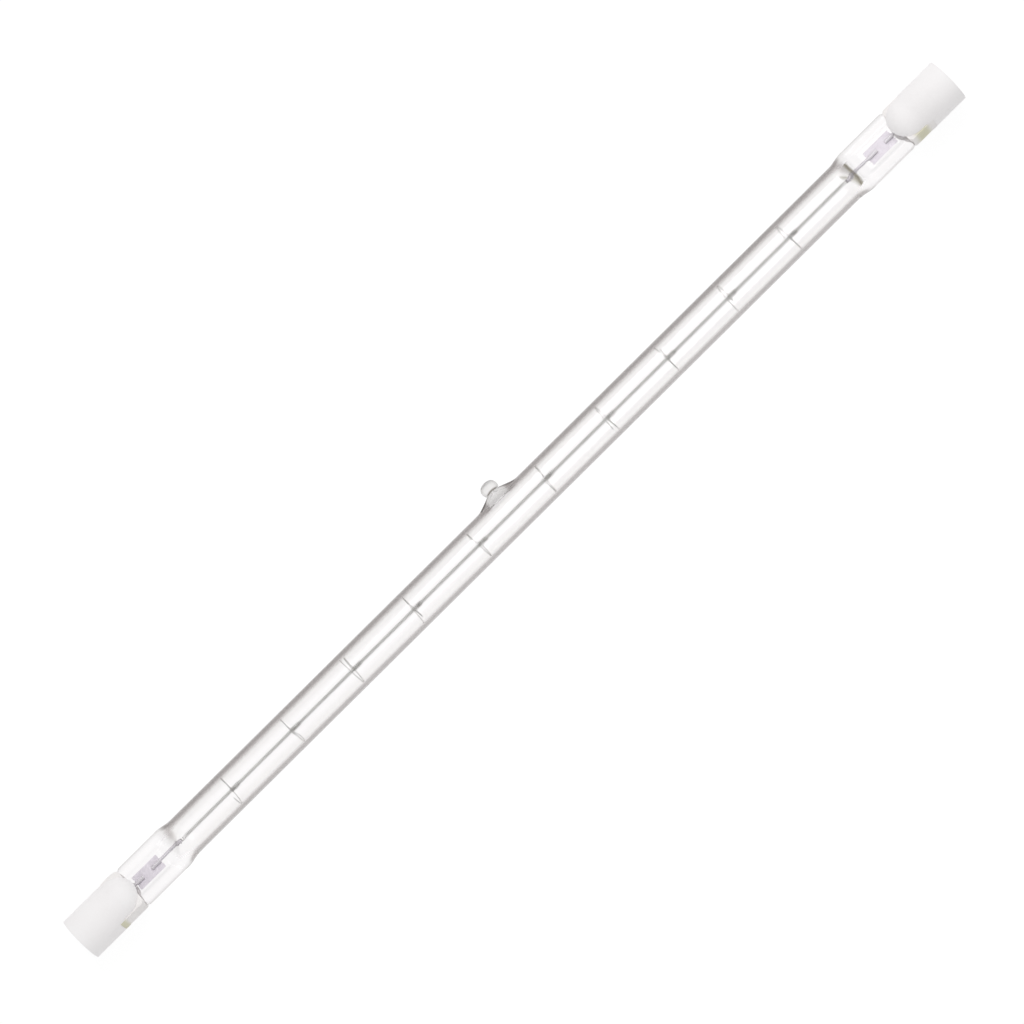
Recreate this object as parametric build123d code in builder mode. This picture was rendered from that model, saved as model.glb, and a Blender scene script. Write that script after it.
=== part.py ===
from build123d import *
from math import asin, atan2, cos, degrees, hypot, radians, sin, sqrt
import os

# A double-ended halogen lamp, in millimetres.
# X runs along the lamp, Z points up, and the origin is on the lamp's axis, halfway between its end faces.
# The lamp lies on its two caps and on its exhaust tip, as it does when it is put down on a level surface.

# Whole lamp
overall_length = 254.1
contact_depth = 1.7

# Quartz tube
tube_od = 9.1
tube_wall = 1.0

# Pinch seals
pinch_width = 10.5
pinch_thickness = 3.2
pinch_bare_length = 8.9
pinch_rim = 1.5
panel_depth = 0.35
panel_length = 13.0
shoulder_length = 5.4
shoulder_near_width = 9.6
shoulder_near_thickness = 8.0
shoulder_far_width = 10.2
shoulder_far_thickness = 5.4

# Inner space where the tube closes into the seal
cavity_end_inset = 2.2
cavity_taper = 3.8
cavity_shoulder_width = 6.9
cavity_shoulder_thickness = 4.7
cavity_end_width = 5.6
cavity_end_thickness = 1.2

# Exhaust tip
tip_offset = -0.65
tip_reach = 9.0
tip_d = 3.9
tip_end_r = 1.2
tip_neck_d = 2.8
tip_neck_reach = 6.5
tip_neck_edge = 0.4
tip_root_length = 10.4
tip_root_width = 5.7
funnel_mouth_length = 6.6
funnel_mouth_width = 3.4
funnel_end_d = 1.2
funnel_end_reach = 6.1
funnel_start = 0.85

# Ceramic caps
cap_length = 16.4
nose_length = 9.6
nose_d = 10.3
nose_edge = 0.4
nose_seam_angle = 2.5
neck_length = 0.5
lobe_d = 9.8
dome_bands = 5
slot_depth = 8.0
recess_d = 5.4
seat_gap = 0.05

# Cement between cap and seal
cement_gap = 0.2
cement_end = 0.8
cement_inset = 1.6
cement_proud = 0.1

# Contact buttons
contact_d = 4.9
contact_head = 1.0
contact_edge = 0.3
stem_d = 2.0
lead_insert = 4.0

# Leads and foils
lead_d = 0.7
weld_bite = 0.05
foil_width = 3.6
foil_length = 7.2
foil_thickness = 0.05
foil_inset = 1.8
inner_weld = 2.6
outer_weld = 2.2
spud_length = 4.0
spud_gap = 0.01

# Filament coil
filament_d = 0.85
filament_bore = 0.45
filament_end_gap = 1.6

# Filament supports
supports_per_side = 5
support_middle_gap = 19.4
support_left_gap = 19.2
support_end_gap = 17.6
support_wire_d = 0.28
support_wall_gap = 0.03
support_grip_gap = 0.01
support_ring_gap = 2.4
support_ring_sides = 16
support_loop_sides = 8
support_step_angle = 137.5

# Places along the lamp, measured from its middle
end_x = overall_length / 2
contact_x = end_x - contact_depth
seat_x = contact_x - contact_head
nose_x = end_x - nose_length
cap_mouth_x = end_x - cap_length
slot_floor_x = cap_mouth_x + slot_depth
pinch_end_x = slot_floor_x - cement_end
pinch_start_x = cap_mouth_x - pinch_bare_length
tube_end_x = pinch_start_x - shoulder_length
cavity_x = pinch_start_x - cavity_end_inset
cavity_straight_x = cavity_x - cavity_taper
foil_inner_x = pinch_start_x + foil_inset
foil_outer_x = foil_inner_x + foil_length
filament_x = cavity_x - filament_end_gap

# Radii
tube_r = tube_od / 2
bore_r = tube_r - tube_wall
nose_r = nose_d / 2
lobe_r = lobe_d / 2
lead_r = lead_d / 2
contact_r = contact_d / 2
stem_r = stem_d / 2
filament_r = filament_d / 2

# Both foils lie beside the leads' flats, this far below the lamp's axis.
foil_face = lead_r - weld_bite

# The lamp rolls over until the rounded end of its tip touches the surface that the caps lie on.
tip_centre_reach = tip_reach - tip_end_r
tip_centre_side = tip_d / 2 - tip_end_r
roll = asin((nose_r - tip_end_r) / hypot(tip_centre_reach, tip_centre_side))
roll -= atan2(tip_centre_side, tip_centre_reach)
tip_direction = (0, cos(roll), -sin(roll))
seal_normal = (0, sin(roll), cos(roll))

# The plane that both seals lie in: its X runs along the lamp and its Y towards the tip.
seal_plane = Plane(origin=(0, 0, 0), x_dir=(1, 0, 0), z_dir=seal_normal)

# The plane across the exhaust tip, on the lamp's axis
tip_plane = Plane(origin=(tip_offset, 0, 0), x_dir=(1, 0, 0), z_dir=tip_direction)

sides = {"left": -1, "right": 1}


# A plane across the lamp that faces outwards on its side: its X points towards the tip.
def across(side, x):
    return Plane(origin=(side * x, 0, 0), x_dir=tip_direction, z_dir=(side, 0, 0))


# A plane through the axis in which a cap's profile is drawn: its X points outwards.
# The cap's seam lies a little above level, well clear of the line that the lamp rests on.
def lengthwise(side):
    seam = radians(nose_seam_angle)
    return Plane(origin=(0, 0, 0), x_dir=(side, 0, 0), z_dir=(0, -side * sin(seam), side * cos(seam)))


def finish(part, name):
    part.label = name
    export_step(part, f"parts/{name}.step")


# Molybdenum foil, flat in the seal
def make_foil(side):
    with BuildPart() as foil:
        with BuildSketch(seal_plane.offset(-foil_face)):
            with Locations((side * (foil_inner_x + foil_outer_x) / 2, 0)):
                Rectangle(foil_length, foil_width)
        extrude(amount=-foil_thickness)
    return foil.part


# A round lead between two places, with a flat where it is welded to the foil
def make_lead(side, start_x, stop_x, weld_start_x, weld_stop_x, spud):
    with BuildPart() as lead:
        with BuildSketch(across(side, start_x)):
            Circle(lead_r)
        extrude(amount=stop_x - start_x)
        if spud:
            with BuildSketch(across(side, start_x)):
                Circle(filament_bore / 2 - spud_gap)
            extrude(amount=-spud_length)
        with BuildSketch(seal_plane.offset(-foil_face)):
            with Locations((side * (weld_start_x + weld_stop_x) / 2, 0)):
                Rectangle(weld_stop_x - weld_start_x, lead_d)
        extrude(amount=-lead_d, mode=Mode.SUBTRACT)
    return lead.part


# The coil's closely wound turns, as the tube that they fill
def make_filament():
    with BuildPart() as filament:
        with BuildSketch(across(1, -filament_x)):
            Circle(filament_r)
            Circle(filament_bore / 2, mode=Mode.SUBTRACT)
        extrude(amount=2 * filament_x)
    return filament.part


# One support: a loop that grips the coil, a leg out to the wall, and an open ring that springs against it.
# The wire is very fine, so it is drawn square, and its rings have flat sides.
def make_support(x, angle):
    ring_r = bore_r - support_wall_gap
    loop_r = filament_r + support_grip_gap
    turn = radians(angle)
    ring_plane = Plane(origin=(x, 0, 0), x_dir=(0, cos(turn), sin(turn)), z_dir=(1, 0, 0))
    with BuildPart() as support:
        with BuildSketch(ring_plane):
            RegularPolygon(ring_r, support_ring_sides)
            RegularPolygon(ring_r - support_wire_d, support_ring_sides, mode=Mode.SUBTRACT)
            with Locations((0, -ring_r)):
                Rectangle(support_ring_gap, ring_r, mode=Mode.SUBTRACT)
            with Locations((0, ring_r - support_wire_d / 2)):
                Rectangle(support_wire_d, ring_r - loop_r - support_wire_d / 2, align=(Align.CENTER, Align.MAX))
            RegularPolygon(loop_r + support_wire_d, support_loop_sides, major_radius=False)
            RegularPolygon(loop_r, support_loop_sides, major_radius=False, mode=Mode.SUBTRACT)
        extrude(amount=support_wire_d / 2, both=True)
    return support.part


# The knob of glass that seals the exhaust tip
def make_knob():
    with BuildPart() as knob:
        with BuildSketch(tip_plane.offset(tip_neck_reach)):
            Circle(tip_d / 2)
        extrude(amount=tip_reach - tip_neck_reach)
        fillet(knob.faces().sort_by(Axis((0, 0, 0), tip_direction))[-1].edges(), tip_end_r)
        chamfer(knob.faces().sort_by(Axis((0, 0, 0), tip_direction))[0].edges(), tip_neck_edge)
    return knob.part


# The quartz envelope: tube, shoulders, pinch seals and exhaust tip in one piece of glass
def make_envelope(knob, inlays):
    with BuildPart() as envelope:
        with BuildSketch(across(1, -tube_end_x)):
            Circle(tube_r)
        extrude(amount=2 * tube_end_x)

        # the mound of glass that the exhaust tip rises from, longer along the tube than across
        with BuildSketch(tip_plane.offset(bore_r)):
            Ellipse(tip_root_length / 2, tip_root_width / 2)
        with BuildSketch(tip_plane.offset(tip_neck_reach)):
            Circle(tip_neck_d / 2)
        loft(ruled=True)
        add(knob)

        for side in sides.values():
            # the shoulder flattens the round tube into the seal
            with BuildSketch(across(side, tube_end_x)):
                Circle(tube_r)
            with BuildSketch(across(side, tube_end_x + shoulder_length / 3)):
                Ellipse(shoulder_near_width / 2, shoulder_near_thickness / 2)
            with BuildSketch(across(side, pinch_start_x - shoulder_length / 3)):
                Ellipse(shoulder_far_width / 2, shoulder_far_thickness / 2)
            with BuildSketch(across(side, pinch_start_x)):
                SlotOverall(pinch_width, pinch_thickness)
            loft(ruled=True)

            # the seal, with a shallow panel pressed into both faces
            with BuildSketch(across(side, pinch_start_x)):
                SlotOverall(pinch_width, pinch_thickness)
            extrude(amount=pinch_end_x - pinch_start_x)
            panel_middle = side * (pinch_end_x + pinch_start_x) / 2
            for face in (-1, 1):
                with BuildSketch(seal_plane.offset(face * (pinch_thickness / 2 - panel_depth))):
                    with Locations((panel_middle, 0)):
                        Rectangle(panel_length, pinch_width - 2 * pinch_rim)
                extrude(amount=face * pinch_thickness, mode=Mode.SUBTRACT)

        # the inner space, which closes to a flat wedge at both ends
        with BuildSketch(across(1, -cavity_straight_x)):
            Circle(bore_r)
        extrude(amount=2 * cavity_straight_x, mode=Mode.SUBTRACT)
        for side in sides.values():
            with BuildSketch(across(side, cavity_straight_x)):
                Circle(bore_r)
            with BuildSketch(across(side, (cavity_straight_x + cavity_x) / 2)):
                Ellipse(cavity_shoulder_width / 2, cavity_shoulder_thickness / 2)
            with BuildSketch(across(side, cavity_x)):
                Ellipse(cavity_end_width / 2, cavity_end_thickness / 2)
            loft(ruled=True, mode=Mode.SUBTRACT)

        # the bore of the drawn-out exhaust tube, which narrows to where it was sealed
        with BuildSketch(tip_plane.offset(bore_r * funnel_start)):
            Ellipse(funnel_mouth_length / 2, funnel_mouth_width / 2)
        with BuildSketch(tip_plane.offset(funnel_end_reach)):
            Circle(funnel_end_d / 2)
        loft(ruled=True, mode=Mode.SUBTRACT)

        # foils and leads lie in pockets of their own shape
        for inlay in inlays:
            add(inlay, mode=Mode.SUBTRACT)
    return envelope.part


# The domed outline of a cap's lobe, from its full width to its tip, with a layer of that thickness over it
def dome_outline(layer):
    radius = lobe_r + layer
    turns = [radians(90 * band / dome_bands) for band in range(dome_bands, -1, -1)]
    return [(cap_mouth_x + lobe_r - radius * cos(turn), radius * sin(turn)) for turn in turns]


# Ceramic cap: a round nose with the contact's recess, and a domed lobe slotted for the seal
def make_cap(side):
    with BuildPart() as cap:
        with BuildSketch(lengthwise(side)):
            with BuildLine():
                Polyline(
                    (cap_mouth_x, 0),
                    (slot_floor_x, 0),
                    (slot_floor_x, stem_r + seat_gap),
                    (seat_x, stem_r + seat_gap),
                    (seat_x, contact_r + seat_gap),
                    (contact_x, contact_r + seat_gap),
                    (contact_x, recess_d / 2),
                    (end_x, recess_d / 2),
                    (end_x, nose_r - nose_edge),
                    (end_x - nose_edge, nose_r),
                    (nose_x, nose_r),
                    (nose_x - neck_length, lobe_r),
                    *dome_outline(0),
                )
            make_face()
        revolve(axis=Axis.X)
        with BuildSketch(across(side, cap_mouth_x)):
            Rectangle(2 * nose_d, pinch_thickness + 2 * cement_gap)
        extrude(amount=slot_depth, mode=Mode.SUBTRACT)
    return cap.part


# Cement that fills the slot round the end of the seal
def make_cement(side, seal, lead):
    with BuildPart() as cement:
        with BuildSketch(lengthwise(side)):
            with BuildLine():
                outline = dome_outline(cement_proud)
                Polyline((slot_floor_x, 0), (slot_floor_x, lobe_r + cement_proud), *outline, close=True)
            make_face()
        revolve(axis=Axis.X)
        with BuildSketch(across(side, cap_mouth_x + cement_inset)):
            Rectangle(2 * nose_d, pinch_thickness + 2 * cement_gap)
        extrude(amount=slot_depth - cement_inset, mode=Mode.INTERSECT)
        add(seal, mode=Mode.SUBTRACT)
        add(lead, mode=Mode.SUBTRACT)
    return cement.part


# Contact: a round head in the cap's recess, on a hollow stem that holds the outer lead
def make_contact(side, lead):
    with BuildPart() as contact:
        with BuildSketch(across(side, seat_x)):
            Circle(contact_r)
        extrude(amount=contact_head)
        chamfer(contact.faces().sort_by(Axis((0, 0, 0), (side, 0, 0)))[-1].edges(), contact_edge)
        with BuildSketch(across(side, slot_floor_x)):
            Circle(stem_r)
        extrude(amount=seat_x - slot_floor_x)
        add(lead, mode=Mode.SUBTRACT)
    return contact.part


os.makedirs("parts", exist_ok=True)

inlays = []
outer_leads = {}
for name, side in sides.items():
    foil = make_foil(side)
    weld_stop_x = foil_inner_x + inner_weld
    inner_lead = make_lead(side, filament_x, weld_stop_x, foil_inner_x, weld_stop_x, spud=True)
    weld_start_x = foil_outer_x - outer_weld
    outer_stop_x = slot_floor_x + lead_insert
    outer_lead = make_lead(side, weld_start_x, outer_stop_x, weld_start_x, foil_outer_x, spud=False)
    inlays += [foil, inner_lead, outer_lead]
    outer_leads[name] = outer_lead
    finish(foil, f"{name}_foil")
    finish(inner_lead, f"{name}_inner_lead")
    finish(outer_lead, f"{name}_outer_lead")

envelope = make_envelope(make_knob(), inlays)
finish(envelope, "quartz_envelope")

for name, side in sides.items():
    finish(make_cap(side), f"{name}_cap")
    finish(make_cement(side, envelope, outer_leads[name]), f"{name}_cement")
    finish(make_contact(side, outer_leads[name]), f"{name}_contact")

finish(make_filament(), "filament_coil")

# The supports stand in two rows from the pair beside the exhaust tip outwards.
right_start_x = tip_offset + support_middle_gap / 2
left_start_x = tip_offset - support_middle_gap / 2
support_step = (filament_x - support_end_gap - right_start_x) / (supports_per_side - 1)
support_places = [right_start_x + k * support_step for k in range(supports_per_side)]
support_places.append(left_start_x)
left_row_x = left_start_x - support_left_gap
support_places += [left_row_x - k * support_step for k in range(supports_per_side - 1)]
for number, x in enumerate(sorted(support_places), start=1):
    finish(make_support(x, number * support_step_angle), f"filament_support_{number}")
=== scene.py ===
import math

import bmesh
import bpy
from mathutils import Matrix, Vector, noise


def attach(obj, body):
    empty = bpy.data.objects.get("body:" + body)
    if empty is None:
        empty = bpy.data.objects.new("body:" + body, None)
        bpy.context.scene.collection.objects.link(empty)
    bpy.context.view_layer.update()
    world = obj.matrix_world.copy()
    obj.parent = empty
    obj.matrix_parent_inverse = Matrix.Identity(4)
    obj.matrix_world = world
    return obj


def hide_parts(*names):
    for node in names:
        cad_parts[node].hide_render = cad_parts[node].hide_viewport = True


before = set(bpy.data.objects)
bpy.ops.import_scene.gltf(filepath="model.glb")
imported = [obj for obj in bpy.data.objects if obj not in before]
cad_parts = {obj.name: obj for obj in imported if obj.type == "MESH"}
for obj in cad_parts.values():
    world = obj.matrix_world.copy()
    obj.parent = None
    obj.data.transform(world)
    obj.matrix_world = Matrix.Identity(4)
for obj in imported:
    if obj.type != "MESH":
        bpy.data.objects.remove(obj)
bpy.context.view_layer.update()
print("stage: frame loaded with", len(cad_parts), "nodes")

# Sizes are in millimetres in the lamp's own axes: x runs along the lamp, y towards the exhaust tip
# and z through the flat of the seals.
lamp = {
    "millimetre": 0.001,
    "tubeRadius": 4.55,
    "boreRadius": 3.55,
    "noseRadius": 5.15,
    "tipOffset": -0.65,
    "tipReach": 9.0,
    "tipRadius": 1.95,
    "tipEndRadius": 1.2,
    "endX": 127.05,
    "capMouthX": 110.65,
    "slotFloorX": 118.65,
    "sides": {"left": -1, "right": 1},
}
merge = {"cut": 0.0005, "wire": 0.0005, "turned": 0.001, "coil": 0.002}  # points nearer than this become one


# The lamp lies on its caps and on its exhaust tip, so it is turned by this angle from its own axes.
def lampRoll():
    centreReach = lamp["tipReach"] - lamp["tipEndRadius"]
    centreSide = lamp["tipRadius"] - lamp["tipEndRadius"]
    lift = lamp["noseRadius"] - lamp["tipEndRadius"]
    return math.asin(lift / math.hypot(centreReach, centreSide)) - math.atan2(centreSide, centreReach)


lampPlace = Matrix.Rotation(-lampRoll(), 4, "X") @ Matrix.Scale(lamp["millimetre"], 4)


def mixNumber(low, high, share):
    return low + (high - low) * share


def smoothShare(value, start, stop):
    share = min(1.0, max(0.0, (value - start) / (stop - start)))
    return share * share * (3 - 2 * share)


def makePiece(bm, name, material, replaced, sharpAngle=35):
    bm.transform(lampPlace)
    mesh = bpy.data.meshes.new(name)
    bm.to_mesh(mesh)
    bm.free()
    for face in mesh.polygons:
        face.use_smooth = True
    mesh.set_sharp_from_angle(angle=math.radians(sharpAngle))
    piece = bpy.data.objects.new(name, mesh)
    bpy.context.scene.collection.objects.link(piece)
    mesh.materials.append(material)
    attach(piece, "root")
    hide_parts(*replaced)
    print("stage:", name, "has", sum(len(face.vertices) - 2 for face in mesh.polygons), "triangles")


def appendShape(target, source):
    mesh = bpy.data.meshes.new("shape")
    source.to_mesh(mesh)
    source.free()
    target.from_mesh(mesh)
    bpy.data.meshes.remove(mesh)


def cutShape(body, cutter, operation="DIFFERENCE"):
    pair = []
    for shape in (body, cutter):
        mesh = bpy.data.meshes.new("cut")
        shape.to_mesh(mesh)
        shape.free()
        item = bpy.data.objects.new("cut", mesh)
        bpy.context.scene.collection.objects.link(item)
        pair.append(item)
    step = pair[0].modifiers.new("cut", "BOOLEAN")
    step.operation = operation
    step.solver = "EXACT"
    step.object = pair[1]
    shown = pair[0].evaluated_get(bpy.context.evaluated_depsgraph_get())
    result = bmesh.new()
    result.from_mesh(shown.to_mesh())
    shown.to_mesh_clear()
    for item in pair:
        mesh = item.data
        bpy.data.objects.remove(item)
        bpy.data.meshes.remove(mesh)
    bmesh.ops.remove_doubles(result, verts=result.verts, dist=merge["cut"])
    return result


def bendEdges(bm, edges, offset, segments):
    bmesh.ops.bevel(bm, geom=list(edges), offset=offset, offset_type="OFFSET", segments=segments, profile=0.5,
                    affect="EDGES", clamp_overlap=True, material=-1)


def sharpEdges(bm, angle):
    return [edge for edge in bm.edges if edge.is_manifold and edge.calc_face_angle(0) > math.radians(angle)]


# Each point of a ring keeps its number round the ring, and extruded points inherit it.
def startRing(bm, count):
    turnLayer = bm.verts.layers.int.new("turn")
    ring = bmesh.ops.create_circle(bm, segments=count, radius=1)["verts"]
    for number, vert in enumerate(ring):
        vert[turnLayer] = number
    return turnLayer, ring, list(bm.edges)


def extrudeRing(bm, edges):
    grown = bmesh.ops.extrude_edge_only(bm, edges=edges)["geom"]
    ring = [item for item in grown if isinstance(item, bmesh.types.BMVert)]
    fresh = set(ring)
    return ring, [item for item in grown if isinstance(item, bmesh.types.BMEdge) and set(item.verts) <= fresh]


def spinProfile(profile, side, around):
    bm = bmesh.new()
    line = [bm.verts.new((side * x, 0, radius)) for x, radius in profile]
    edges = [bm.edges.new(pair) for pair in zip(line, line[1:])]
    bmesh.ops.spin(bm, geom=line + edges, angle=2 * math.pi, steps=around, axis=(1, 0, 0), cent=(0, 0, 0),
                   use_merge=True)
    bmesh.ops.remove_doubles(bm, verts=bm.verts, dist=merge["turned"])
    bmesh.ops.recalc_face_normals(bm, faces=bm.faces)
    return bm


def makeBox(size, middleX):
    box = bmesh.new()
    bmesh.ops.create_cube(box, size=1)
    bmesh.ops.scale(box, verts=box.verts, vec=size)
    bmesh.ops.translate(box, verts=box.verts, vec=(middleX, 0, 0))
    return box


def startMaterial(name):
    material = bpy.data.materials.new(name)
    material.use_nodes = True
    tree = material.node_tree
    shader = tree.nodes["Principled BSDF"]
    place = tree.nodes.new("ShaderNodeTexCoord")
    return material, tree, shader, place


def addNoise(tree, place, scale, detail, rough=0.5):
    field = tree.nodes.new("ShaderNodeTexNoise")
    field.inputs["Scale"].default_value = scale
    field.inputs["Detail"].default_value = detail
    field.inputs["Roughness"].default_value = rough
    tree.links.new(place.outputs["Object"], field.inputs["Vector"])
    return field


def addRamp(tree, source, stops):
    ramp = tree.nodes.new("ShaderNodeValToRGB")
    points = ramp.color_ramp.elements
    while len(points) < len(stops):
        points.new(0.5)  # moved to its own place below
    for point, (position, colour) in zip(points, stops):
        point.position = position
        point.color = (*colour, 1)
    tree.links.new(source, ramp.inputs["Fac"])
    return ramp


finishNoise = {"cloudDetail": 4, "grainDetail": 6, "grainRoughness": 0.65}


def makeFinish(name, look):
    material, tree, shader, place = startMaterial(name)
    cloud = addNoise(tree, place, look["cloudScale"], finishNoise["cloudDetail"])
    grain = addNoise(tree, place, look["grainScale"], finishNoise["grainDetail"],
                     finishNoise["grainRoughness"])
    blend = tree.nodes.new("ShaderNodeMath")
    blend.operation = "MULTIPLY_ADD"
    blend.inputs[1].default_value = look["grainShare"]
    tree.links.new(grain.outputs["Fac"], blend.inputs[0])
    tree.links.new(cloud.outputs["Fac"], blend.inputs[2])
    tone = addRamp(tree, blend.outputs["Value"], look["tones"])
    tree.links.new(tone.outputs["Color"], shader.inputs["Base Color"])
    gloss = tree.nodes.new("ShaderNodeMapRange")
    gloss.inputs["To Min"].default_value = look["roughness"][0]
    gloss.inputs["To Max"].default_value = look["roughness"][1]
    tree.links.new(grain.outputs["Fac"], gloss.inputs["Value"])
    tree.links.new(gloss.outputs["Result"], shader.inputs["Roughness"])
    relief = tree.nodes.new("ShaderNodeBump")
    relief.inputs["Strength"].default_value = look["bumpStrength"]
    relief.inputs["Distance"].default_value = look["bumpDepth"] * lamp["millimetre"]
    tree.links.new(grain.outputs["Fac"], relief.inputs["Height"])
    tree.links.new(relief.outputs["Normal"], shader.inputs["Normal"])
    shader.inputs["Metallic"].default_value = look["metallic"]
    return material


# Stops give the painted shade, which stands in for the dark refraction at the tube's edges, by how far the
# wall turns away: 0 is seen straight on and 1 along the wall.
quartzLook = {
    "refraction": 1.458,
    "facingBlend": 0.5,
    "edgeStops": [(0.0, (0.953, 0.938, 0.94)), (0.10, (0.943, 0.926, 0.926)), (0.20, (0.93, 0.912, 0.908)),
                  (0.25, (0.91, 0.892, 0.887)), (0.30, (0.855, 0.835, 0.83)), (0.35, (0.725, 0.70, 0.695)),
                  (0.40, (0.585, 0.56, 0.555)), (0.47, (0.48, 0.455, 0.45)), (0.55, (0.445, 0.42, 0.415)),
                  (0.67, (0.47, 0.445, 0.44)), (0.85, (0.545, 0.52, 0.515)), (1.0, (0.63, 0.61, 0.605))],
    # painted shade: the side towards the exhaust tip is darker at a slant
    "darkSide": (0.8, 2.4),
    "darkStops": [(0.0, (1, 1, 1)), (0.16, (1, 1, 1)), (0.22, (0.95, 0.947, 0.946)),
                  (0.33, (0.75, 0.734, 0.73)), (0.39, (0.70, 0.68, 0.675)), (1.0, (0.70, 0.68, 0.675))],
    "crownSide": (3.4, 4.0),
    "crownStops": [(0.39, (1, 1, 1)), (0.47, (0, 0, 0))],
    "calmStops": [(0.0, (0.97, 0.955, 0.957)), (0.2, (0.93, 0.915, 0.92)), (0.34, (0.80, 0.785, 0.787)),
                  (0.5, (0.62, 0.605, 0.60)), (0.7, (0.52, 0.505, 0.50)), (1.0, (0.45, 0.44, 0.44))],
    "sealStops": [(0.0, (0.965, 0.95, 0.952)), (0.2, (0.93, 0.915, 0.92)), (0.34, (0.85, 0.835, 0.837)),
                  (0.5, (0.76, 0.745, 0.74)), (0.7, (0.71, 0.695, 0.69)), (1.0, (0.68, 0.665, 0.66))],
    "endRefraction": 1.24,
    "bendFrom": 96.0,
    "bendTo": 98.0,
    "calmFrom": 97.8,
    "calmTo": 99.8,
    "moundHalf": (2.1, 3.1),
    "moundReach": (1.2, 2.2),
    "moundWide": (4.6, 6.2),
    # painted shade: a grey for the knob and a dark ring for the neck
    "knobReach": (6.2, 6.9),
    "knobTone": (0.78, 0.77, 0.76),
    "knobShare": 0.75,
    "knobRoughness": 0.4,
    "neckReach": (6.2, 0.45),
    "neckTone": (0.25, 0.235, 0.21),
    # painted shade: a dark line on the bore's wall near the cavity's end
    "endLine": (99.0, 0.7),
    "endTone": (0.30, 0.28, 0.22),
    "waveScale": 260.0,
    "waveDetail": 2,
    "waveStrength": 0.25,
    "waveDepth": 0.012,
    "depthLimits": [("Glossy Depth", 2.5), ("Ray Depth", 8.5)],
    "deepTone": (0.5, 0.49, 0.48),
}


def addRange(tree, source, low, high):
    ranged = tree.nodes.new("ShaderNodeMapRange")
    ranged.interpolation_type = "SMOOTHSTEP"
    ranged.inputs["From Min"].default_value = low * lamp["millimetre"]
    ranged.inputs["From Max"].default_value = high * lamp["millimetre"]
    tree.links.new(source, ranged.inputs["Value"])
    return ranged.outputs["Result"]


def addMath(tree, operation, first, second=None):
    step = tree.nodes.new("ShaderNodeMath")
    step.operation = operation
    tree.links.new(first, step.inputs[0])
    if isinstance(second, (int, float)):
        step.inputs[1].default_value = second
    elif second is not None:
        tree.links.new(second, step.inputs[1])
    return step.outputs["Value"]


def addMix(tree, share, first, second, blend="MIX"):
    mixed = tree.nodes.new("ShaderNodeMix")
    mixed.data_type = "RGBA"
    mixed.blend_type = blend
    if isinstance(share, (int, float)):
        mixed.inputs["Factor"].default_value = share
    else:
        tree.links.new(share, mixed.inputs["Factor"])
    for side, colour in zip("AB", (first, second)):
        if isinstance(colour, tuple):
            mixed.inputs[side].default_value = (*colour, 1)
        else:
            tree.links.new(colour, mixed.inputs[side])
    return mixed.outputs["Result"]


def pathShare(tree, names):
    path = tree.nodes.new("ShaderNodeLightPath")
    total = path.outputs[names[0]]
    for name in names[1:]:
        total = addMath(tree, "MAXIMUM", total, path.outputs[name])
    return total
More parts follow.
